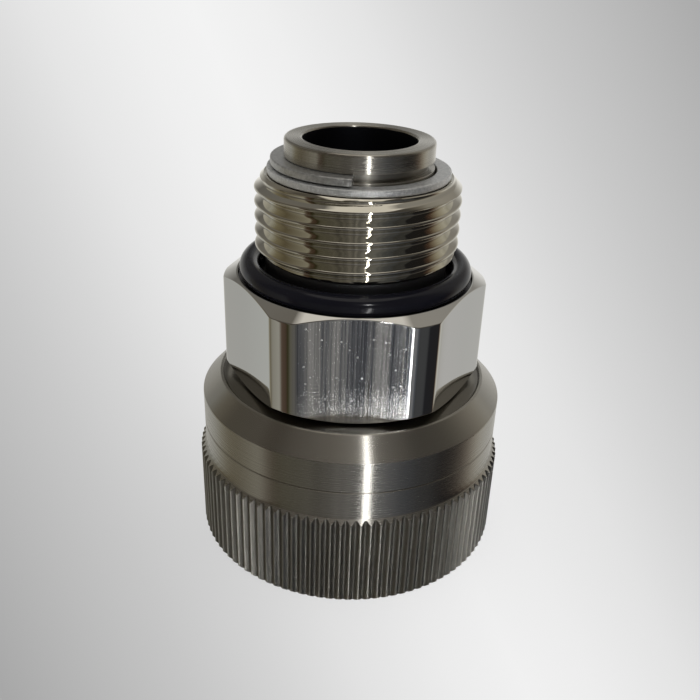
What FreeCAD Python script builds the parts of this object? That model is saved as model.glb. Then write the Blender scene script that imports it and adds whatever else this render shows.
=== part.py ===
"""Reducing connector: a knurled union nut and a plated hexagon body that both turn on a flanged stem.

The collar screws onto the larger pipe, the outside thread of the hexagon body takes the smaller one.
Millimetres, +Z up the bore, z = 0 on the underside of the collar, the axis through x = y = 0.
"""
import FreeCAD, Part
import Sketcher
import os
import re

# Driving sizes in millimetres and degrees. Heights are measured up from the collar's underside.
SIZES = {
    # knurled collar
    "knurl_radius": 27.0,
    "knurl_depth": 0.67,
    "knurl_teeth": 106,
    "knurl_top": 16.5,
    "foot_chamfer": 0.5,
    "band_radius": 26.1,
    "mark_rise": 4.9,
    "mark_width": 0.3,
    "mark_depth": 0.2,
    "collar_height": 30.1,
    "shoulder_drop": 3.3,
    "rim_radius": 23.0,
    "rim_width": 0.4,
    "rim_step": 0.3,
    # socket for a 1 1/4 inch parallel pipe thread, whose crests are at socket_radius
    "socket_radius": 19.476,
    "socket_relief_radius": 21.2,
    "socket_thread_length": 16.0,
    "socket_chamfer": 1.5,
    "web_thickness": 5.6,
    # flanged stem and its face gasket
    "bore_radius": 9.05,
    "stem_radius": 11.9,
    "stem_head": 2.85,
    "stem_edge": 0.4,
    "flange_radius": 18.8,
    "flange_thickness": 3.6,
    "gasket_radius": 18.6,
    "gasket_hole_radius": 10.3,
    "gasket_thickness": 2.5,
    # hexagon body
    "hex_flats": 40.0,
    "hex_corner_rise": 2.0,
    "hex_height": 18.1,
    "hex_chamfer_inset": 0.25,
    "hex_chamfer_angle": 30.0,
    "spigot_length": 16.4,
    "body_edge": 0.4,
    # outside 1 inch parallel pipe thread
    "thread_radius": 16.6245,
    "thread_depth": 1.479,
    "thread_pitch": 2.309,
    "thread_flank": 27.5,
    "thread_lead": 1.6,
    "thread_run_in": 1.83,
    "thread_overcut": 0.2,
    "neck_radius": 15.0,
    "neck_length": 3.4,
    "neck_flare": 1.0,
    # seal ring in the top of the hexagon
    "seal_section": 3.5,
    "seat_depth": 0.9,
    "seat_land": 0.25,
    # washer and open ring that hold the body on the stem
    "washer_radius": 14.6,
    "washer_thickness": 1.1,
    "ring_radius": 14.05,
    "ring_thickness": 1.15,
    "ring_sweep": 239.0,
    "ring_start": 26.0,
    "ring_groove_radius": 10.8,
    # seals between stem and body
    "packing_groove_depth": 1.75,
    "packing_groove_width": 2.4,
    "packing_rise": 5.4,
    "packing_spacing": 7.5,
    # clearances
    "journal_gap": 0.08,
    "swivel_gap": 0.3,
    "washer_gap": 0.35,
    "seal_gap": 0.05,
    "seal_side_gap": 0.25,
    "packing_gap": 0.07,
    "ring_gap": 0.1,
}

# Sizes that follow from those above.
DERIVED = {
    "knurl_shoulder": "knurl_top - (knurl_radius - band_radius)",
    "mark_height": "knurl_top + mark_rise",
    "shoulder_height": "collar_height - shoulder_drop",
    "knurl_notch": "(knurl_radius - knurl_depth) / sqrt(2)",
    "collar_face": "collar_height - rim_step",
    "web_bottom": "collar_face - web_thickness",
    "flange_top": "web_bottom - swivel_gap",
    "flange_bottom": "flange_top - flange_thickness",
    "journal_radius": "stem_radius + journal_gap",
    "hex_bottom": "collar_face + swivel_gap",
    "hex_top": "hex_bottom + hex_height",
    "hex_corner_radius": "hex_flats / 2 + hex_corner_rise",
    "hex_chamfer_radius": "hex_flats / 2 - hex_chamfer_inset",
    "seat_radius": "hex_chamfer_radius - seat_land",
    "seal_radius": "seat_radius - seal_side_gap - seal_section / 2",
    "hex_chamfer_drop": "(hex_corner_radius - hex_chamfer_radius) * tan(hex_chamfer_angle * 1 deg)",
    "seat_height": "hex_top - seat_depth",
    "body_top": "hex_top + spigot_length",
    "neck_height": "hex_top + neck_length",
    "thread_bottom": "neck_height + neck_flare",
    "thread_start": "thread_bottom - thread_run_in",
    "thread_root": "thread_radius - thread_depth",
    "groove_floor": "thread_pitch / 12",
    "groove_mouth": "groove_floor + (thread_depth + thread_overcut) * tan(thread_flank * 1 deg)",
    "washer_top": "body_top + washer_thickness",
    "ring_bottom": "washer_top + swivel_gap",
    "ring_groove_top": "ring_bottom + ring_thickness + ring_gap",
    "stem_height": "ring_groove_top + stem_head",
    "lower_packing_height": "hex_bottom + packing_rise",
    "upper_packing_height": "lower_packing_height + packing_spacing",
    "packing_floor": "stem_radius - packing_groove_depth",
    "packing_section": "packing_groove_depth + journal_gap - 2 * packing_gap",
}

doc = FreeCAD.newDocument("reducing_connector")
sheet = doc.addObject("Spreadsheet::Sheet", "sizes")
for row, (name, value) in enumerate(list(SIZES.items()) + list(DERIVED.items()), start=1):
    sheet.set("A%d" % row, name)
    sheet.set("B%d" % row, "=" + value if name in DERIVED else str(value))
    sheet.setAlias("B%d" % row, name)
doc.recompute()


def bound(expression):
    """The expression with each name that is a size turned into a reference to its cell."""
    return re.sub(r"[a-z_]+", lambda word: "sizes." + word[0]
                  if word[0] in SIZES or word[0] in DERIVED else word[0], expression)


def new_body(label):
    """An empty body that carries the name of its piece."""
    body = doc.addObject("PartDesign::Body", label)
    body.Label = label
    return body


def outline(body, name, role, points):
    """A closed outline on one of the body's origin planes.

    Each point is two expressions, its distances from the origin across and up the plane. The lines start
    out as chords of a parabola, and the constraints carry every corner to its place.
    """
    sketch = body.newObject("Sketcher::SketchObject", name)
    sketch.AttachmentSupport = [(next(f for f in body.Origin.OriginFeatures if f.Role == role), "")]
    sketch.MapMode = "FlatFace"
    count = len(points)
    corners = [FreeCAD.Vector(index, index * index, 0) for index in range(count)]
    for index, corner in enumerate(corners):
        sketch.addGeometry(Part.LineSegment(corner, corners[(index + 1) % count]), False)
    for index in range(count):
        sketch.addConstraint(Sketcher.Constraint("Coincident", index, 2, (index + 1) % count, 1))
    for index, point in enumerate(points):
        for kind, axis, place in zip(("DistanceX", "DistanceY"), (-2, -1), point):
            if place == "0":
                sketch.addConstraint(Sketcher.Constraint("PointOnObject", index, 1, axis))
                continue
            ends = (index, 1, -1, 1) if place.startswith("-") else (-1, 1, index, 1)
            number = sketch.addConstraint(Sketcher.Constraint(kind, *ends, 1.0))
            sketch.setExpression("Constraints[%d]" % number, bound(place.lstrip("-")))
    return sketch


def turned(label, points, sweep="360"):
    """A body turned about Z from an outline of (radius, height) points."""
    body = new_body(label)
    sketch = outline(body, label + "_section", "XZ_Plane", points)
    turning = body.newObject("PartDesign::Revolution", label + "_turning")
    turning.Profile = sketch
    turning.ReferenceAxis = (sketch, ["V_Axis"])
    turning.setExpression("Angle", bound(sweep))
    body.Tip = turning
    doc.recompute()
    return body


def cut_around(body, name, points, length, copies):
    """Cut an outline up through the body from its XY plane, repeated evenly about Z."""
    sketch = outline(body, name + "_outline", "XY_Plane", points)
    pocket = body.newObject("PartDesign::Pocket", name + "_cut")
    pocket.Profile = sketch
    pocket.Reversed = True
    pocket.setExpression("Length", bound(length))
    doc.recompute()
    pattern = body.newObject("PartDesign::PolarPattern", name)
    pattern.Originals = [pocket]
    pattern.Axis = (sketch, ["N_Axis"])
    pattern.Angle = 360
    pattern.setExpression("Occurrences", bound(copies))
    body.Tip = pattern
    doc.recompute()


def rubber_ring(label, radius, section, height):
    """A moulded ring of round section, lying flat at a height."""
    ring = doc.addObject("Part::Torus", label)
    ring.Label = label
    ring.setExpression("Radius1", bound(radius))
    ring.setExpression("Radius2", bound(section + " / 2"))
    ring.setExpression("Placement.Base.z", bound(height))
    return ring


# Knurled collar: turned outside with a fine line round the band, bored for the pipe thread, with a web
# that bears on the stem's flange.
collar = turned("knurled_collar", [
    ("socket_radius + socket_chamfer", "0"),
    ("knurl_radius - foot_chamfer", "0"),
    ("knurl_radius", "foot_chamfer"),
    ("knurl_radius", "knurl_shoulder"),
    ("band_radius", "knurl_top"),
    ("band_radius", "mark_height - mark_width / 2"),
    ("band_radius - mark_depth", "mark_height"),
    ("band_radius", "mark_height + mark_width / 2"),
    ("band_radius", "shoulder_height"),
    ("rim_radius", "collar_height"),
    ("rim_radius - rim_width", "collar_height"),
    ("rim_radius - rim_width - rim_step", "collar_face"),
    ("journal_radius", "collar_face"),
    ("journal_radius", "web_bottom"),
    ("socket_relief_radius", "web_bottom"),
    ("socket_relief_radius", "socket_thread_length"),
    ("socket_radius", "socket_thread_length"),
    ("socket_radius", "socket_chamfer"),
])
# Straight knurl: square-cornered notches, drawn on the 45 degree line so that their flanks lie along X and Y.
cut_around(collar, "knurl", [
    ("knurl_notch", "knurl_notch"),
    ("knurl_notch + 2 * knurl_depth", "knurl_notch"),
    ("knurl_notch", "knurl_notch + 2 * knurl_depth"),
], "knurl_top", "knurl_teeth")

# Stem: a tube with a flange at its foot, two packing grooves and a groove for the open ring.
packing_grooves = []
for height in ("lower_packing_height", "upper_packing_height"):
    packing_grooves += [
        ("stem_radius", height + " - packing_groove_width / 2"),
        ("packing_floor", height + " - packing_groove_width / 2"),
        ("packing_floor", height + " + packing_groove_width / 2"),
        ("stem_radius", height + " + packing_groove_width / 2"),
    ]
turned("stem_tube", [
    ("bore_radius", "flange_bottom"),
    ("flange_radius", "flange_bottom"),
    ("flange_radius", "flange_top"),
    ("stem_radius", "flange_top"),
] + packing_grooves + [
    ("stem_radius", "ring_bottom"),
    ("ring_groove_radius", "ring_bottom"),
    ("ring_groove_radius", "ring_groove_top"),
    ("stem_radius", "ring_groove_top"),
    ("stem_radius", "stem_height - stem_edge"),
    ("stem_radius - stem_edge", "stem_height"),
    ("bore_radius + stem_edge / 2", "stem_height"),
    ("bore_radius", "stem_height - stem_edge / 2"),
])

# Hexagon body: turned with a seat for its seal and a threaded spigot, then milled to six flats.
hexagon = turned("hex_body", [
    ("journal_radius + body_edge", "hex_bottom"),
    ("hex_chamfer_radius", "hex_bottom"),
    ("hex_corner_radius", "hex_bottom + hex_chamfer_drop"),
    ("hex_corner_radius", "hex_top - hex_chamfer_drop"),
    ("hex_chamfer_radius", "hex_top"),
    ("seat_radius", "hex_top"),
    ("seat_radius", "seat_height"),
    ("neck_radius", "seat_height"),
    ("neck_radius", "neck_height"),
    ("thread_radius", "thread_bottom"),
    ("thread_radius", "body_top - thread_lead"),
    ("thread_radius - thread_lead", "body_top"),
    ("journal_radius + body_edge", "body_top"),
    ("journal_radius", "body_top - body_edge"),
    ("journal_radius", "hex_bottom + body_edge"),
])
cut_around(hexagon, "flats", [
    ("-hex_corner_radius", "hex_flats / 2"),
    ("hex_corner_radius", "hex_flats / 2"),
    ("hex_corner_radius", "hex_flats"),
    ("-hex_corner_radius", "hex_flats"),
], "body_top", "6")
# The thread's groove, cut upwards from the neck and out through the end face.
groove = outline(hexagon, "thread_groove", "XZ_Plane", [
    ("thread_root", "thread_start - groove_floor"),
    ("thread_radius + thread_overcut", "thread_start - groove_mouth"),
    ("thread_radius + thread_overcut", "thread_start + groove_mouth"),
    ("thread_root", "thread_start + groove_floor"),
])
thread = hexagon.newObject("PartDesign::SubtractiveHelix", "thread")
thread.Profile = groove
thread.ReferenceAxis = (groove, ["V_Axis"])
thread.Mode = "pitch-height-angle"
thread.setExpression("Pitch", bound("thread_pitch"))
thread.setExpression("Height", bound("body_top - thread_start + groove_mouth"))
hexagon.Tip = thread

# Washer on the body's end face, and the open ring that snaps into the stem's groove above it.
turned("thrust_washer", [
    ("stem_radius + washer_gap", "body_top"),
    ("washer_radius", "body_top"),
    ("washer_radius", "washer_top"),
    ("stem_radius + washer_gap", "washer_top"),
])
ring = turned("retaining_ring", [
    ("ring_groove_radius + ring_gap", "ring_bottom"),
    ("ring_radius", "ring_bottom"),
    ("ring_radius", "ring_bottom + ring_thickness"),
    ("ring_groove_radius + ring_gap", "ring_bottom + ring_thickness"),
], sweep="ring_sweep")
ring.Placement = FreeCAD.Placement(FreeCAD.Vector(), FreeCAD.Rotation(FreeCAD.Vector(0, 0, 1), 1))
ring.setExpression("Placement.Rotation.Angle", bound("ring_start"))

# Flat gasket under the stem's flange, which the larger pipe's end presses on.
turned("face_gasket", [
    ("gasket_hole_radius", "flange_bottom - gasket_thickness"),
    ("gasket_radius", "flange_bottom - gasket_thickness"),
    ("gasket_radius", "flange_bottom"),
    ("gasket_hole_radius", "flange_bottom"),
])

# Rubber rings: one in the hexagon's seat, two packings in the stem's grooves.
rubber_ring("body_seal", "seal_radius", "seal_section", "seat_height + seal_gap + seal_section / 2")
for label in ("lower_packing", "upper_packing"):
    rubber_ring(label, "packing_floor + packing_gap + packing_section / 2", "packing_section", label + "_height")

doc.recompute()
pieces = [item for item in doc.Objects if item.TypeId in ("PartDesign::Body", "Part::Torus")]
for item in doc.Objects:
    assert "Invalid" not in item.State and "Error" not in item.State, (item.Label, item.State)
for piece in pieces:
    assert not piece.Shape.isNull() and piece.Shape.isValid(), piece.Label
os.makedirs("parts", exist_ok=True)
for piece in pieces:
    piece.Shape.exportStep(os.path.join("parts", piece.Label + ".step"))
    box = piece.Shape.BoundBox
    print("%-16s %7.2f cm3, z %6.2f to %6.2f, r %.2f, %d solids" % (
        piece.Label, piece.Shape.Volume / 1000, box.ZMin, box.ZMax, box.XMax, len(piece.Shape.Solids)))
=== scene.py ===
import bpy
import numpy as np
from math import cos, pi, radians, sin, tan
from mathutils import Matrix, Vector


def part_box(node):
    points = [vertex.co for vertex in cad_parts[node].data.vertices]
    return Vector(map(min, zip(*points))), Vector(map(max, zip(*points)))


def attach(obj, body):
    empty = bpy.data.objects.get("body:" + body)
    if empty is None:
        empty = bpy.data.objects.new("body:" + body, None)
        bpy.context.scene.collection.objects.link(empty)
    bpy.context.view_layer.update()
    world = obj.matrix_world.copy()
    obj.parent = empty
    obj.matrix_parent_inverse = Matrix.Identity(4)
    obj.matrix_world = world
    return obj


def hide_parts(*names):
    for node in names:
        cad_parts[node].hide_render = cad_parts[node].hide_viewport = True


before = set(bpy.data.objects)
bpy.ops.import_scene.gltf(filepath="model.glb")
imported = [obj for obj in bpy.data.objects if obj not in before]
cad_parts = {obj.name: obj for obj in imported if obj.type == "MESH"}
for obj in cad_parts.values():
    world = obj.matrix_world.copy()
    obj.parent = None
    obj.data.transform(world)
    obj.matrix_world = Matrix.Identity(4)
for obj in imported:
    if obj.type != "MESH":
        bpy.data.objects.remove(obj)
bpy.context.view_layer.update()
MM = 0.001

# Camera: held a hand's length in front of the fitting and a little above it, looking down. It stands
# 1 degree to the left of the hexagon's front flat.
camera_place = Vector((-2.21, -126.51, 97.25)) * MM
pitch, yaw, roll = radians(26.95), radians(0.826), radians(2.115)
camera = bpy.data.objects.new("camera", bpy.data.cameras.new("camera"))
camera.data.lens = 41.38
camera.data.sensor_width = 36
camera.data.clip_start = 10 * MM
camera.matrix_world = (Matrix.Translation(camera_place) @ Matrix.Rotation(-yaw, 4, "Z")
                       @ Matrix.Rotation(pi / 2 - pitch, 4, "X") @ Matrix.Rotation(roll, 4, "Z"))
bpy.context.scene.collection.objects.link(camera)
bpy.context.scene.camera = camera
bpy.context.scene.view_settings.view_transform = "Standard"


# Floor: matt grey paper that runs out of sight on all sides. Its tone is painted brightest along a line
# from the upper left to the lower right of the picture, a painted band of light. Lit from all round, and to
# the camera mostly glowing with its own tone, it keeps only a faint shadow.
def linear(code):
    """The linear colour of an sRGB hex code: a channel c becomes ((c + 0.055) / 1.055) ^ 2.4, or c / 12.92
    near black."""
    channels = [int(code[place:place + 2], 16) / 255 for place in (1, 3, 5)]
    return tuple(c / 12.92 if c < 0.04045 else ((c + 0.055) / 1.055) ** 2.4 for c in channels) + (1,)


def add(tree, kind, inputs=(), out=0, stops=(), **settings):
    """Add a shader node and return one of its outputs, or the node itself if it has none.

    Inputs are values or other nodes' outputs, in order or by name. Stops are a colour ramp's pairs of a
    place and a hex code. Settings are the node's own options.
    """
    made = tree.nodes.new("ShaderNode" + kind)
    for key, value in settings.items():
        setattr(made, key, value)
    for key, value in inputs.items() if isinstance(inputs, dict) else enumerate(inputs):
        if isinstance(value, bpy.types.NodeSocket):
            tree.links.new(value, made.inputs[key])
        else:
            made.inputs[key].default_value = value
    for index, (place, code) in enumerate(stops):
        elements = made.color_ramp.elements
        element = elements[index] if index < len(elements) else elements.new(1.0)
        element.position = place
        element.color = linear(code)
    return made.outputs[out] if made.outputs else made


floor_reach = 6.0  # metres
tone_slant, tone_shift, shadow_share = 0.49, 0.0146, 0.2
tones = [(0.0, "#f3f3f3"), (0.1, "#efefef"), (0.23, "#e5e5e5"), (0.35, "#d6d6d6"), (0.47, "#c8c8c8"),
         (0.6, "#bababa"), (0.75, "#a8a8a8"), (1.0, "#d2d2d2")]
paper = bpy.data.materials.new("matt_grey_paper")
paper.use_nodes = True
tree = paper.node_tree
tree.nodes.clear()
offset = add(tree, "VectorMath", (add(tree, "TexCoord", out="Object"), camera_place), operation="SUBTRACT")
axes = camera.matrix_world.to_3x3().col
across, above, depth = (add(tree, "VectorMath", (offset, axis), "Value", operation="DOT_PRODUCT")
                        for axis in (axes[0], axes[1], -axes[2]))
focal = camera.data.lens / camera.data.sensor_width
right, down = (add(tree, "Math", (add(tree, "Math", (way, depth), operation="DIVIDE"), scale),
                   operation="MULTIPLY") for way, scale in ((across, focal), (above, -focal)))
line = add(tree, "Math", (down, tone_slant, tone_shift), operation="MULTIPLY_ADD")
from_line = add(tree, "Math", (right, line), operation="SUBTRACT")
from_line = add(tree, "Math", (from_line,), operation="ABSOLUTE")
tone = add(tree, "ValToRGB", (from_line,), stops=tones)
# To the camera four fifths of the paper's tone is a painted glow, which lifts its shadow.
painted_glow_share = add(tree, "Math", (add(tree, "LightPath", out="Is Camera Ray"), 1 - shadow_share),
               operation="MULTIPLY")
add(tree, "OutputMaterial", (add(tree, "MixShader", (
    painted_glow_share, add(tree, "BsdfDiffuse", (tone,)), add(tree, "Emission", (tone,)))),))
floor_mesh = bpy.data.meshes.new("floor")
floor_mesh.from_pydata([(-floor_reach, -floor_reach, 0), (floor_reach, -floor_reach, 0),
                        (floor_reach, floor_reach, 0), (-floor_reach, floor_reach, 0)], [], [(0, 1, 2, 3)])
floor_mesh.materials.append(paper)
floor = bpy.data.objects.new("floor", floor_mesh)
floor.visible_glossy = False
bpy.context.scene.collection.objects.link(floor)

# Light: an even pale room. Metal sees more of it: a table that is bright behind the fitting and darker in
# front and beside it, dim walls, a pale ceiling, and the narrow bright strip of a window a little to the
# right. Bearings are in degrees from the onlooker, to the right, in a room turned with the camera. The low
# tones are the table's and the high ones the walls'. A small lamp stands behind the camera, to its right.
def bump_at(tree, value, centre, width):
    """1 at the centre, falling smoothly to 0 at half the width on either side."""
    offset = add(tree, "Math", (value, centre), operation="SUBTRACT")
    distance = add(tree, "Math", (offset,), operation="ABSOLUTE")
    return add(tree, "MapRange", (distance, 0.0, width / 2, 1.0, 0.0), interpolation_type="SMOOTHSTEP")


room_turn = -1.0
strip_bearing, strip_width, strip_strength = 14.7, 2.8, 20.0
glow_width, glow = 60, 0.07
bar_width, bar_share = 7.0, 0.3
low_tones = [(-180, "#f9f9f8"), (-168, "#f4f3f0"), (-156, "#c8c7c3"), (-135, "#bcbbb6"), (-127, "#adadaa"),
             (-124, "#b7b9b6"), (-112, "#88826f"), (-98, "#6b6454"), (-76, "#8d8a80"), (-66, "#9c9a91"),
             (-63, "#57493f"), (-58, "#4a3d33"), (-55, "#363420"), (-51, "#5c5a4f"), (-24, "#62605b"),
             (0, "#696867"), (30, "#626468"), (48, "#4c4f55"), (54, "#434446"), (67, "#434446"),
             (69, "#252528"), (92, "#272525"), (99, "#54433a"), (104, "#7f7467"), (112, "#aca79b"),
             (122, "#c8c7c2"), (128, "#b2b1ac"), (129, "#bdbcbb"), (131, "#b9b9b7"), (144, "#cdccc8"),
             (160, "#e8e7e4"), (180, "#f9f9f8")]
high_tones = [(-180, "#858583"), (-168, "#5c5a57"), (-150, "#6d6b67"), (-125, "#736f68"), (-112, "#6a655d"),
              (-103, "#524e47"), (-72, "#59544e"), (-40, "#3a3430"), (-16, "#362f2b"), (0, "#464240"),
              (30, "#44403d"), (85, "#4a4742"), (95, "#68635a"), (105, "#8a867e"), (120, "#98948d"),
              (150, "#8a8782"), (168, "#acacaa"), (180, "#858583")]
room = bpy.data.worlds.new("pale_room")
bpy.context.scene.world = room
room.cycles.sampling_method = "NONE"
room.use_nodes = True
tree = room.node_tree
tree.nodes.clear()
x, y, z = add(tree, "SeparateXYZ", (add(tree, "TexCoord", out="Generated"),)).node.outputs
toward = add(tree, "Math", (x, add(tree, "Math", (y, -1.0), operation="MULTIPLY")), operation="ARCTAN2")
bearing = add(tree, "Math", (toward, 0.5 / pi, 0.5 - room_turn / 360), operation="MULTIPLY_ADD")
low, high = (add(tree, "ValToRGB", (bearing,), stops=[(0.5 + angle / 360, code) for angle, code in ramp])
             for ramp in (low_tones, high_tones))
ahead = bump_at(tree, bearing, 0.5, 140 / 360)
bars = add(tree, "TexNoise", {"W": bearing, "Scale": 360 / bar_width, "Detail": 1.0}, noise_dimensions="1D")
bars = add(tree, "MapRange", (bars, 0.35, 0.65, -bar_share, bar_share))
bars = add(tree, "Math", (bars, ahead, 1.0), operation="MULTIPLY_ADD")
low = add(tree, "VectorMath", {0: low, "Scale": bars}, operation="SCALE")
raised = add(tree, "MapRange", (z, 0.0, 0.3))
seen = add(tree, "MixRGB", (raised, low, high))
overhead = add(tree, "MapRange", (z, 0.895, 0.925))
seen = add(tree, "MixRGB", (overhead, seen, linear("#dcd7ce")))
strip_foot = add(tree, "MapRange", (z, -0.75, -0.64, 0.0, strip_strength))
strip_head = add(tree, "MapRange", (z, -0.08, 0.15, 1.0, 0.02))
strip = add(tree, "Math", (strip_foot, strip_head), operation="MULTIPLY")
across_strip = bump_at(tree, bearing, 0.5 + strip_bearing / 360, strip_width / 360)
strip = add(tree, "Math", (strip, across_strip), operation="MULTIPLY")
soft = bump_at(tree, bearing, 0.5 + strip_bearing / 360, glow_width / 360)
strip = add(tree, "Math", (soft, glow, strip), operation="MULTIPLY_ADD")
lit = add(tree, "VectorMath", (seen, strip), operation="ADD")
shade = add(tree, "MixRGB", (add(tree, "LightPath", out="Is Camera Ray"), (1, 1, 1, 1), linear("#dcdcdc")))
shade = add(tree, "MixRGB", (add(tree, "LightPath", out="Is Glossy Ray"), shade, lit))
add(tree, "OutputWorld", (add(tree, "Background", (shade, 1.0)),))

lamp = bpy.data.objects.new("small_lamp", bpy.data.lights.new("small_lamp", "AREA"))
lamp.data.shape = "DISK"
lamp.data.size = 24 * MM
lamp.data.energy = 0.09
lamp_place, lamp_aim = Vector((70, -291, 260)) * MM, Vector((0, 0, 40)) * MM
lamp.matrix_world = (Matrix.Translation(lamp_place)
                     @ (lamp_aim - lamp_place).to_track_quat("-Z", "Y").to_matrix().to_4x4())
bpy.context.scene.collection.objects.link(lamp)
unlit = bpy.data.collections.new("kept_out_of_the_lamp")
unlit.objects.link(floor)
lamp.light_linking.receiver_collection = unlit
unlit.collection_objects[0].light_linking.link_state = "EXCLUDE"


# Knurled collar: a union nut turned from steel bar, its lower half pressed with a straight knurl. The turned
# band above keeps fine lathe lines under a dull grey finish, and the sloping shoulder has none. The face
# inside the rim is painted darker, as shade between the collar and the hexagon.
def around(angles, section):
    """Points x = r cos a, y = r sin a, z = z, for a section of rows (r, z) over the columns' angles a."""
    radius, height = section[:, 0], section[:, 1]
    return np.stack([radius * np.cos(angles), radius * np.sin(angles), height], -1)


def eased(corners, columns, steps=3, support=0.35):
    """Corners (r, z, ease), each a number or an array over the columns, as rows (r, z).

    A corner c becomes a parabola that touches both its sides at its ease from the corner, in p and n:
    (1 - s)^2 p + 2 s (1 - s) c + s^2 n. One row beyond each end keeps the shading of the sides straight.
    """
    grid = np.array([[np.broadcast_to(np.asarray(value, float), columns) for value in corner]
                     for corner in corners])
    corner, ease = grid[:, :2], grid[:, 2:]
    before, after = np.roll(corner, 1, 0) - corner, np.roll(corner, -1, 0) - corner
    reach_before, reach_after = (np.linalg.norm(way, axis=1, keepdims=True) for way in (before, after))
    length = np.minimum(ease, np.minimum(reach_before, reach_after) * 0.35)
    before, after = (way / np.maximum(reach, 1e-9) for way, reach in
                     ((before, reach_before), (after, reach_after)))
    s = np.linspace(0, 1, steps + 1)[:, None, None, None]
    first, last = corner + before * length, corner + after * length
    bend = (1 - s) ** 2 * first + 2 * s * (1 - s) * corner + s ** 2 * last
    rows = np.concatenate([(first + before * length * support)[None], bend,
                           (last + after * length * support)[None]])
    return rows.swapaxes(0, 1).reshape(-1, 2, columns)


def closed_surface(name, points, body, nodes, material, sharp=40, round_axis=True, zones=()):
    """A closed mesh from a grid of points (rows, columns, xyz) in millimetres.

    Rows run round the section and close on themselves. Columns run round the axis and close too, or else
    the first and the last column are capped. Edges that turn by more than the sharp angle stay sharp. A
    zone is (material, first row, last row) for rows with a finish of their own.
    """
    rows, columns = points.shape[:2]
    spans = columns if round_axis else columns - 1
    row, column = np.meshgrid(np.arange(rows), np.arange(spans), indexing="ij")
    next_row, next_column = (row + 1) % rows, (column + 1) % columns
    faces = np.stack([row * columns + column, row * columns + next_column,
                      next_row * columns + next_column, next_row * columns + column], -1).reshape(-1, 4)
    faces = faces.tolist()
    if not round_axis:
        faces.append((np.arange(rows) * columns).tolist())
        faces.append((np.arange(rows)[::-1] * columns + columns - 1).tolist())
    mesh = bpy.data.meshes.new(name)
    mesh.from_pydata((points.reshape(-1, 3) * MM).tolist(), [], faces)
    mesh.polygons.foreach_set("use_smooth", np.ones(len(faces), bool))
    mesh.set_sharp_from_angle(angle=radians(sharp))
    mesh.materials.append(material)
    finish = np.zeros(len(faces), np.int32)
    for index, (own, first, last) in enumerate(zones, start=1):
        mesh.materials.append(own)
        finish[:row.size][((row >= first) & (row < last)).ravel()] = index
    mesh.polygons.foreach_set("material_index", finish)
    piece = bpy.data.objects.new(name, mesh)
    bpy.context.scene.collection.objects.link(piece)
    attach(piece, body)
    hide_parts(*nodes)
    return piece


def whitworth(along, pitch):
    """Depth of a pipe thread below its crest, at a distance along the axis from a crest.

    The flanks stand 27.5 degrees from square to the axis and run 0.6403 of the pitch deep. Crests and roots
    are arcs with a radius of 0.1373 of the pitch, and a root is the crest's form turned over.
    """
    flank, rounding = radians(27.5), 0.137329 * pitch
    whole = 0.640327 * pitch
    away = np.abs((along / pitch + 0.5) % 1 - 0.5) * pitch
    near = np.minimum(away, pitch / 2 - away)
    touch = rounding * cos(flank)
    arc = rounding - np.sqrt(np.maximum(rounding ** 2 - np.minimum(near, touch) ** 2, 0))
    straight = (near - touch) / tan(flank) + rounding * (1 - sin(flank))
    depth = np.where(near < touch, arc, straight)
    return np.where(away <= pitch / 4, depth, whole - depth)


def finish_of(name, colour, metallic, roughness, inputs=None):
    """A material with one principled surface; returns the material, its nodes and that surface's inputs."""
    material = bpy.data.materials.new(name)
    material.use_nodes = True
    tree = material.node_tree
    tree.nodes.clear()
    surface = add(tree, "BsdfPrincipled", {"Base Color": linear(colour), "Metallic": metallic,
                                           "Roughness": roughness, **(inputs or {})})
    add(tree, "OutputMaterial", (surface,))
    return material, tree, surface.node.inputs


def round_place(tree):
    """Distance from the axis, and the coordinates x, y and z, of the point being shaded."""
    place = add(tree, "SeparateXYZ", (add(tree, "TexCoord", out="Object"),)).node.outputs
    x, y, z = place
    squares = add(tree, "Math", (y, y), operation="MULTIPLY")
    squares = add(tree, "Math", (x, x, squares), operation="MULTIPLY_ADD")
    return add(tree, "Math", (squares,), operation="SQRT"), x, y, z


def lathe_lines(tree, spacing):
    """Noise that is even round the axis and changes with radius and height, a line every spacing mm."""
    radius, x, y, z = round_place(tree)
    place = add(tree, "CombineXYZ", (radius, z))
    return add(tree, "TexNoise", {"Vector": place, "Scale": 1 / (spacing * MM), "Detail": 2.0,
                                  "Roughness": 0.6})


collar_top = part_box("knurled_collar")[1].z / MM
knurl_teeth, knurl_radius, knurl_depth, knurl_top, band_radius = 106, 27.0, 0.67, 16.5, 26.1
knurl_start = radians(45)
foot_chamfer, mark_height, mark_width, mark_depth, shoulder_height = 0.5, 21.4, 0.3, 0.2, 26.8
rim_radius, rim_width, rim_step = 23.0, 0.4, 0.3
journal_radius, web_bottom, relief_radius = 11.98, 24.2, 21.2
socket_root, socket_pitch, socket_top, socket_step = 20.955, 2.309, 16.0, 0.4
mouth_rise, mouth_slope = 0.3, 0.9
line_spacing, grain_size = 0.1, 0.5

# Turned steel: the lathe's lines run round it, so light spreads along the axis into an upright streak.
turned_steel, tree, surface = finish_of("turned_steel", "#c4c1b9", 1.0, 0.33,
                                        {"Anisotropic": 1.0, "Anisotropic Rotation": 0.25})
lines = lathe_lines(tree, line_spacing)
tree.links.new(add(tree, "MapRange", (lines, 0.35, 0.65, 0.25, 0.28)), surface["Roughness"])
bump = add(tree, "Bump", {"Strength": 0.02, "Distance": 0.01 * MM, "Height": lines})
tree.links.new(bump, surface["Normal"])
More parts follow.
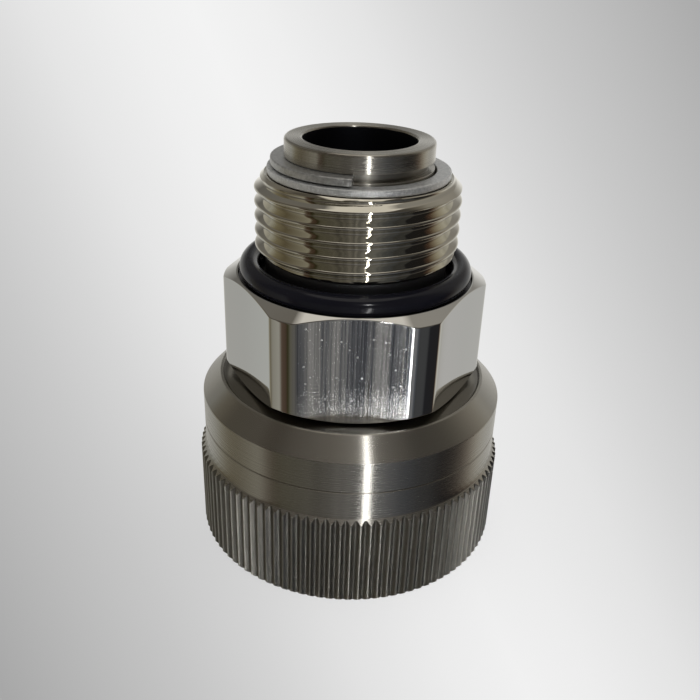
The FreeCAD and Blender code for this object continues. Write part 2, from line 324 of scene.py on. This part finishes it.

# Pressed steel: darker and duller off its crests, and brighter on its crests, partly from wear by hands and
# tools and partly a painted glint.
pressed_steel, tree, surface = finish_of("pressed_knurl_steel", "#918e86", 1.0, 0.42)
radius = round_place(tree)[0]
# The crests' brighter colour is partly wear and partly a painted glint.
crest_wear_and_glint = add(tree, "MapRange", (radius, (knurl_radius - 0.18) * MM, (knurl_radius - 0.02) * MM))
crest_wear_and_glint = add(tree, "MixRGB", (crest_wear_and_glint, linear("#87847d"), linear("#c9c6bf")))
tree.links.new(crest_wear_and_glint, surface["Base Color"])
grain = add(tree, "TexNoise", {"Vector": add(tree, "TexCoord", out="Object"),
                               "Scale": 1 / (grain_size * MM), "Detail": 3.0})
bump = add(tree, "Bump", {"Strength": 0.12, "Distance": 0.03 * MM, "Height": grain})
tree.links.new(bump, surface["Normal"])

# Faced steel has the band's finish without its lines. The darker steel is painted shade, in the recesses.
faced_steel, tree, surface = finish_of("faced_steel", "#bdbab2", 1.0, 0.27,
                                       {"Anisotropic": 1.0, "Anisotropic Rotation": 0.25})
# Painted shade: a darker steel for recesses where shade falls.
shaded_recess_steel, tree, surface = finish_of("painted_shade_steel", "#8f8c85", 1.0, 0.28)

# One pitch of the knurl, from crest to crest: places along it, and the depth there.
phase = np.array([0.05, 0.28, 0.40, 0.50, 0.60, 0.72, 0.95])
depth_at = np.array([0.0, 0.48, 0.62, knurl_depth, 0.62, 0.48, 0.0])
tooth = (np.arange(knurl_teeth)[:, None] + phase).ravel()
collar_angles = knurl_start + (tooth - 0.5) * 2 * pi / knurl_teeth
crest = np.tile(knurl_radius - depth_at, knurl_teeth)
collar_face = collar_top - rim_step
outside = eased([
    (np.minimum(crest, knurl_radius - foot_chamfer), 0, 0.05),
    (crest, np.maximum(crest - (knurl_radius - foot_chamfer), 0.05), 0.05),
    (crest, knurl_top - (crest - band_radius), 0.06),
    (band_radius, knurl_top, 0.06),
    (band_radius, mark_height - mark_width / 2, 0.02),
    (band_radius - mark_depth, mark_height, 0.02),
    (band_radius, mark_height + mark_width / 2, 0.02),
    (band_radius, shoulder_height, 0.07),
    (rim_radius, collar_top, 0.1),
    (rim_radius - rim_width, collar_top, 0.06),
    (rim_radius - rim_width - rim_step, collar_face, 0.06),
    (journal_radius, collar_face, 0.1),
    (journal_radius, web_bottom, 0.1),
    (relief_radius, web_bottom, 0.3),
    (relief_radius, socket_top, 0.1),
], len(collar_angles), steps=2)
heights = np.arange(socket_top, 2 * socket_step, -socket_step)[:, None]
turn = collar_angles[None] / (2 * pi)
cut = socket_root - whitworth(heights - turn * socket_pitch, socket_pitch)
mouth = np.maximum(cut, socket_root + mouth_rise - heights * mouth_slope)
socket = np.stack([mouth, np.broadcast_to(heights, mouth.shape)], 1)
lip = np.stack([np.full((1, len(collar_angles)), socket_root + 0.5), np.zeros((1, len(collar_angles)))], 1)
section = np.concatenate([outside, socket, lip])
# Rows of the section, five to a corner: the knurl, the shoulder, and the face inside the rim with the
# journal below it, painted darker as shade.
finishes = [(pressed_steel, 4, 13), (faced_steel, 38, 42), (shaded_recess_steel, 49, 60)]
closed_surface("knurled_union_nut", around(collar_angles, section), "collar", ["knurled_collar"],
               turned_steel, zones=finishes)

# Stem: a tube turned from the same steel, with the fluid bore through it, a flange inside the collar,
# grooves for the two packings and one for the open ring near its top. The drilled bore is dark.
bore_radius, stem_radius, stem_top = 9.05, 11.9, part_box("stem_tube")[1].z / MM
flange_radius, flange_bottom, flange_top = 18.8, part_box("stem_tube")[0].z / MM, 23.9
groove_radius, groove_low, groove_high = 10.8, 66.0, 67.25
packing_floor, packing_width, packing_heights = 10.15, 2.4, (35.5, 43.0)
tube_line_spacing, stem_columns = 0.12, 160
stem_angles = np.linspace(0, 2 * pi, stem_columns, endpoint=False)
path = [(bore_radius, flange_bottom, 0.1), (flange_radius, flange_bottom, 0.3),
        (flange_radius, flange_top, 0.3), (stem_radius, flange_top, 0.2)]
for height in packing_heights:
    low, high = height - packing_width / 2, height + packing_width / 2
    path += [(stem_radius, low, 0.1), (packing_floor, low, 0.1), (packing_floor, high, 0.1),
             (stem_radius, high, 0.1)]
path += [(stem_radius, groove_low, 0.08), (groove_radius, groove_low, 0.08),
         (groove_radius, groove_high, 0.08), (stem_radius, groove_high, 0.1),
         (stem_radius, stem_top, 0.45), (bore_radius, stem_top, 0.3)]
stem_steel, tree, surface = finish_of("turned_tube_steel", "#c4c0b6", 1.0, 0.33,
                                      {"Anisotropic": 1.0, "Anisotropic Rotation": 0.25})
lines = lathe_lines(tree, tube_line_spacing)
tree.links.new(add(tree, "MapRange", (lines, 0.35, 0.65, 0.24, 0.32)), surface["Roughness"])
bore_steel, tree, surface = finish_of("drilled_bore_steel", "#3a3b42", 1.0, 0.45)
stem_rows = eased(path, len(stem_angles))
# Rows of the section, six to a corner: the ring's groove, painted darker as shade, and the bore.
finishes = [(shaded_recess_steel, 78, 90), (bore_steel, len(stem_rows) - 2, len(stem_rows))]
closed_surface("stem", around(stem_angles, stem_rows), "stem", ["stem_tube"], stem_steel,
               zones=finishes)

# Hexagon body: brass, turned and threaded, milled to six flats and plated with bright nickel. The flats are
# buffed down a little at their edges. The front one is streaked, dulled near its foot, rippled on the left,
# and painted with upright bands of shade and reflected light.
hex_bottom, hex_top, hex_flat, hex_corner = 30.1, 48.2, 20.0, 22.0
chamfer_radius, chamfer_slope, softness = 19.75, tan(radians(30)), 0.1
seat_radius, seat_height, neck_radius, neck_top = 19.5, 47.3, 15.0, 51.6
thread_radius, thread_pitch, thread_bottom, thread_lead, groove_at = 16.6245, 2.309, 52.6, 1.6, 50.77
body_top, thread_step = 64.6, 0.09
edge_angle = np.degrees(np.arccos(hex_flat / hex_corner))
close = edge_angle + np.array([-3.1, -2.3, -1.6, -1.0, -0.5, 0, 0.3, 0.7, 1.4])
sector = np.sort(np.concatenate([np.arange(-20, 20.1, 2.5), close, -close, [28.0, -28.0, -30.0]]))
hex_angles = np.radians((np.arange(6)[:, None] * 60 + 30 + sector).ravel())
away = np.tile(np.radians(sector), 6)
on_front = np.repeat(np.arange(6) == 4, len(sector))
buffed, buffed_width = np.where(on_front, 0.055, 0.02), np.where(on_front, 1.0, 0.5)
beyond = np.abs(hex_flat * np.tan(away)) - (hex_flat * tan(radians(edge_angle)) - buffed_width)
flat = hex_flat / np.cos(away) - buffed * np.clip(beyond / buffed_width, 0, 1) ** 2
wall = (flat + hex_corner - np.sqrt((flat - hex_corner) ** 2 + softness ** 2)) / 2
chamfer = (wall - chamfer_radius) * chamfer_slope
below = eased([
    (journal_radius, body_top, 0.3),
    (journal_radius, hex_bottom, 0.3),
    (chamfer_radius, hex_bottom, 0.12),
    (wall, hex_bottom + chamfer, 0.12),
    (wall, hex_top - chamfer, 0.12),
    (chamfer_radius, hex_top, 0.1),
    (seat_radius, hex_top, 0.08),
    (seat_radius, seat_height, 0.15),
    (neck_radius, seat_height, 0.4),
    (neck_radius, neck_top, 0.2),
    (thread_radius, thread_bottom, 0.0),
], len(hex_angles))[:-6]
turn = hex_angles[None] / (2 * pi)
heights = np.arange(neck_top + 0.1, body_top - 0.05, thread_step)[:, None]
form = thread_radius - whitworth(heights - groove_at - thread_pitch * (turn + 0.5), thread_pitch)
foot = neck_radius + (heights - neck_top) * (thread_radius - neck_radius) / (thread_bottom - neck_top)
lead = thread_radius + 0.05 - (heights - (body_top - thread_lead))
form = np.minimum(np.minimum(form, foot), lead)
thread = np.stack([form, np.broadcast_to(heights, form.shape)], 1)
end = np.stack([np.full((1, len(hex_angles)), value) for value in (form[-1].min() - 0.1, body_top)], 1)

# Nickel plate: a mirror on the turned and milled metal, duller on the neck and on the seat's floor, and
# painted darker there as shade between the seal and the thread.
# Dull nickel, its colour darkened as painted shade.
dull_shaded_nickel, tree, surface = finish_of("dull_nickel_painted_shade", "#868689", 1.0, 0.45)
nickel, tree, surface = finish_of("bright_nickel_plate", "#dcdbd7", 1.0, 0.03)
radius, x, y, z = round_place(tree)
on_hexagon = add(tree, "Math", (radius, 19.6 * MM), operation="GREATER_THAN")
cone = add(tree, "Math", (radius, chamfer_slope, z), operation="MULTIPLY_ADD")
chamfer_edge = hex_top + chamfer_radius * chamfer_slope
under_chamfer = add(tree, "MapRange", (cone, (chamfer_edge - 0.1) * MM, (chamfer_edge - 0.16) * MM))
beside_corner = add(tree, "MapRange", (radius, (hex_corner - 0.1) * MM, (hex_corner - 0.3) * MM))
on_flat = add(tree, "Math", (under_chamfer, beside_corner), operation="MULTIPLY")
faces_front = add(tree, "MapRange", (y, (0.5 - hex_flat) * MM, (0.3 - hex_flat) * MM))
front = add(tree, "Math", (on_flat, faces_front), operation="MULTIPLY")

# On the front flat: upright polishing streaks and wider bands, a foot dulled by handling, specks of dust
# painted white as glints, ripples from the milling cutter, and upright bands of painted shade and painted
# reflected light.
streak_spacing, band_spacing, dulled_grain, speck_spacing, ripple_pitch = 0.36, 2.6, 0.25, 3.4, 0.62
streak_place = add(tree, "CombineXYZ", (x, add(tree, "Math", (z, 0.01), operation="MULTIPLY")))
streaks = add(tree, "TexNoise", {"Vector": streak_place, "Scale": 1 / (streak_spacing * MM), "Detail": 3.0,
                                 "Roughness": 0.6})
bands = add(tree, "TexNoise", {"Vector": streak_place, "Scale": 1 / (band_spacing * MM), "Detail": 2.0})
grain = add(tree, "TexNoise", {"Vector": add(tree, "TexCoord", out="Object"),
                               "Scale": 1 / (dulled_grain * MM), "Detail": 4.0, "Roughness": 0.7})
foot_height = add(tree, "MapRange", (z, 30.5 * MM, 41.0 * MM, 0.38, 0.0), interpolation_type="SMOOTHSTEP")
frost = add(tree, "Math", (foot_height, grain), operation="ADD")
frost = add(tree, "MapRange", (add(tree, "Math", (frost, 0.68), operation="SUBTRACT"), 0.0, 0.4))
frost = add(tree, "Math", (frost, front), operation="MULTIPLY")
# Specks: dust, painted white and rough so they show as glints of light.
dust_and_glint_specks = add(tree, "TexVoronoi", {"Vector": add(tree, "CombineXYZ", (x, z)),
                                  "Scale": 1 / (speck_spacing * MM)}, voronoi_dimensions="2D")
dust_and_glint_specks = add(tree, "Math", (add(tree, "MapRange", (dust_and_glint_specks, 0.05, 0.035)), front), operation="MULTIPLY")
wave = add(tree, "Math", (bands, 6.0), operation="MULTIPLY")
wave = add(tree, "Math", (z, 2 * pi / (ripple_pitch * MM), wave), operation="MULTIPLY_ADD")
wave = add(tree, "Math", (wave,), operation="SINE")
rippled = add(tree, "Math", (bump_at(tree, x, -5.9 * MM, 3.2 * MM), bump_at(tree, z, 33.8 * MM, 12.0 * MM)),
              operation="MULTIPLY")
ripple = add(tree, "Math", (wave, rippled), operation="MULTIPLY")
height = add(tree, "Math", (streaks, 0.5), operation="MULTIPLY")
height = add(tree, "Math", (add(tree, "Math", (grain, frost), operation="MULTIPLY"), 0.4, height),
             operation="MULTIPLY_ADD")
height = add(tree, "Math", (height, front), operation="MULTIPLY")
bump = add(tree, "Bump", {"Strength": 1.0, "Distance": 0.03 * MM, "Height": height})
tree.links.new(bump, surface["Normal"])
roughness = add(tree, "Math", (front, 0.08, 0.035), operation="MULTIPLY_ADD")
roughness = add(tree, "Math", (frost, 0.06, roughness), operation="MULTIPLY_ADD")
roughness = add(tree, "Math", (dust_and_glint_specks, 0.55, roughness), operation="MULTIPLY_ADD")
tree.links.new(roughness, surface["Roughness"])
mixed = add(tree, "Math", (add(tree, "Math", (streaks, 0.7), operation="MULTIPLY"), bands), operation="ADD")
mixed = add(tree, "Math", (ripple, 0.09, mixed), operation="MULTIPLY_ADD")
# Upright bands of painted shade and painted reflected light: the centre and the whole width in mm, and
# how much paler it becomes.
for centre, width, change in ((-8.4, 3.6, -0.13), (-1.2, 3.0, -0.08), (4.5, 9.0, 0.04)):
    mixed = add(tree, "Math", (bump_at(tree, x, centre * MM, width * MM), change, mixed),
                operation="MULTIPLY_ADD")
# The flat's colour: real streaks and marks, with painted shade and painted reflected light in it.
stain_and_painted_light = add(tree, "ValToRGB", (mixed,), stops=[(0.68, "#7d8087"), (0.79, "#b0b2b6"), (0.87, "#d0d0ce"),
                                               (1.0, "#f6f5f2")])
scratch_foot = add(tree, "MapRange", (z, 38.5 * MM, 37.5 * MM))
scratch = add(tree, "Math", (bump_at(tree, x, 2.4 * MM, 0.3 * MM), scratch_foot), operation="MULTIPLY")
stain_and_painted_light = add(tree, "MixRGB", (scratch, stain_and_painted_light, linear("#5d5854")))
stain_and_painted_light = add(tree, "MixRGB", (frost, stain_and_painted_light, linear("#e4e3e0")))
# The specks' white is partly dust and partly a painted glint.
stain_and_painted_light = add(tree, "MixRGB", (dust_and_glint_specks, stain_and_painted_light, linear("#ffffff")))
# The plate is a little warmer on the thread than on the hexagon.
plate = add(tree, "MixRGB", (on_hexagon, linear("#dad6ca"), linear("#dcdbd7")))
tree.links.new(add(tree, "MixRGB", (front, plate, stain_and_painted_light)), surface["Base Color"])
hexagon = around(hex_angles, np.concatenate([below, thread, end]))
# Rows of the section, six to a corner: the seat's floor and the neck are dull, and painted darker as shade.
closed_surface("nickel_hexagon", hexagon, "body", ["hex_body"], nickel,
               zones=[(dull_shaded_nickel, 42, 60)])

# Seal ring: moulded nitrile rubber with a smooth glossy skin, stretched into the seat on the hexagon.
seal_radius, seal_section, seal_columns, seal_steps = 17.5, 3.5, 192, 36
seal_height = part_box("body_seal")[0].z / MM + seal_section / 2
rubber, tree, surface = finish_of("moulded_rubber", "#111117", 0.0, 0.13, {"Specular IOR Level": 0.33})
seal_angles = np.linspace(0, 2 * pi, seal_columns, endpoint=False)
bend = np.linspace(0, 2 * pi, seal_steps, endpoint=False)[:, None]
ring_rows = np.stack([seal_radius + seal_section / 2 * np.cos(bend) + 0 * seal_angles,
                      seal_height + seal_section / 2 * np.sin(bend) + 0 * seal_angles], 1)
closed_surface("seal_ring", around(seal_angles, ring_rows), "body", ["body_seal"], rubber)

# Washer: stamped from steel sheet, lying on the end face of the body.
washer_hole, washer_radius, washer_low, washer_high, washer_grain = 12.25, 14.6, 64.6, 65.7, 0.5
washer_steel, tree, surface = finish_of("stamped_washer_steel", "#d0d1cf", 0.8, 0.42)
grain = add(tree, "TexNoise", {"Vector": add(tree, "TexCoord", out="Object"),
                               "Scale": 1 / (washer_grain * MM), "Detail": 5.0, "Roughness": 0.7})
bump = add(tree, "Bump", {"Strength": 0.5, "Distance": 0.02 * MM, "Height": grain})
tree.links.new(bump, surface["Normal"])
tree.links.new(add(tree, "MapRange", (grain, 0.35, 0.65, 0.36, 0.5)), surface["Roughness"])
tree.links.new(add(tree, "ValToRGB", (grain,), stops=[(0.36, "#c3c4c3"), (0.64, "#e4e4e2")]),
               surface["Base Color"])
washer_rows = eased([(washer_hole, washer_low, 0.15), (washer_radius, washer_low, 0.2),
                     (washer_radius, washer_high, 0.25), (washer_hole, washer_high, 0.15)], len(stem_angles))
closed_surface("washer", around(stem_angles, washer_rows), "body", ["thrust_washer"],
               washer_steel)

# Open ring: spring steel, snapped into the stem's groove.
ring_inner, ring_radius, ring_low, ring_high, ring_grain = 10.9, 14.05, 66.0, 67.15, 0.6
ring_start, ring_end, ring_columns = 26, 265, 110
ring_angles = np.radians(np.linspace(ring_start, ring_end, ring_columns))
ring_steel, tree, surface = finish_of("spring_steel", "#bebebb", 0.88, 0.38)
grain = add(tree, "TexNoise", {"Vector": add(tree, "TexCoord", out="Object"),
                               "Scale": 1 / (ring_grain * MM), "Detail": 5.0, "Roughness": 0.7})
bump = add(tree, "Bump", {"Strength": 0.4, "Distance": 0.02 * MM, "Height": grain})
tree.links.new(bump, surface["Normal"])
tree.links.new(add(tree, "MapRange", (grain, 0.35, 0.65, 0.28, 0.48)), surface["Roughness"])
tree.links.new(add(tree, "ValToRGB", (grain,), stops=[(0.36, "#aaaaa8"), (0.64, "#d0d0ce")]),
               surface["Base Color"])
open_rows = eased([(ring_inner, ring_low, 0.15), (ring_radius, ring_low, 0.2),
                   (ring_radius, ring_high, 0.25), (ring_inner, ring_high, 0.15)], len(ring_angles))
closed_surface("open_ring", around(ring_angles, open_rows), "stem", ["retaining_ring"],
               ring_steel, round_axis=False)

# Hidden seals: the face gasket and the two packings, black rubber.
for name in ("face_gasket", "lower_packing", "upper_packing"):
    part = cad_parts[name]
    part.data.materials.clear()
    part.data.materials.append(rubber)

bpy.context.view_layer.update()
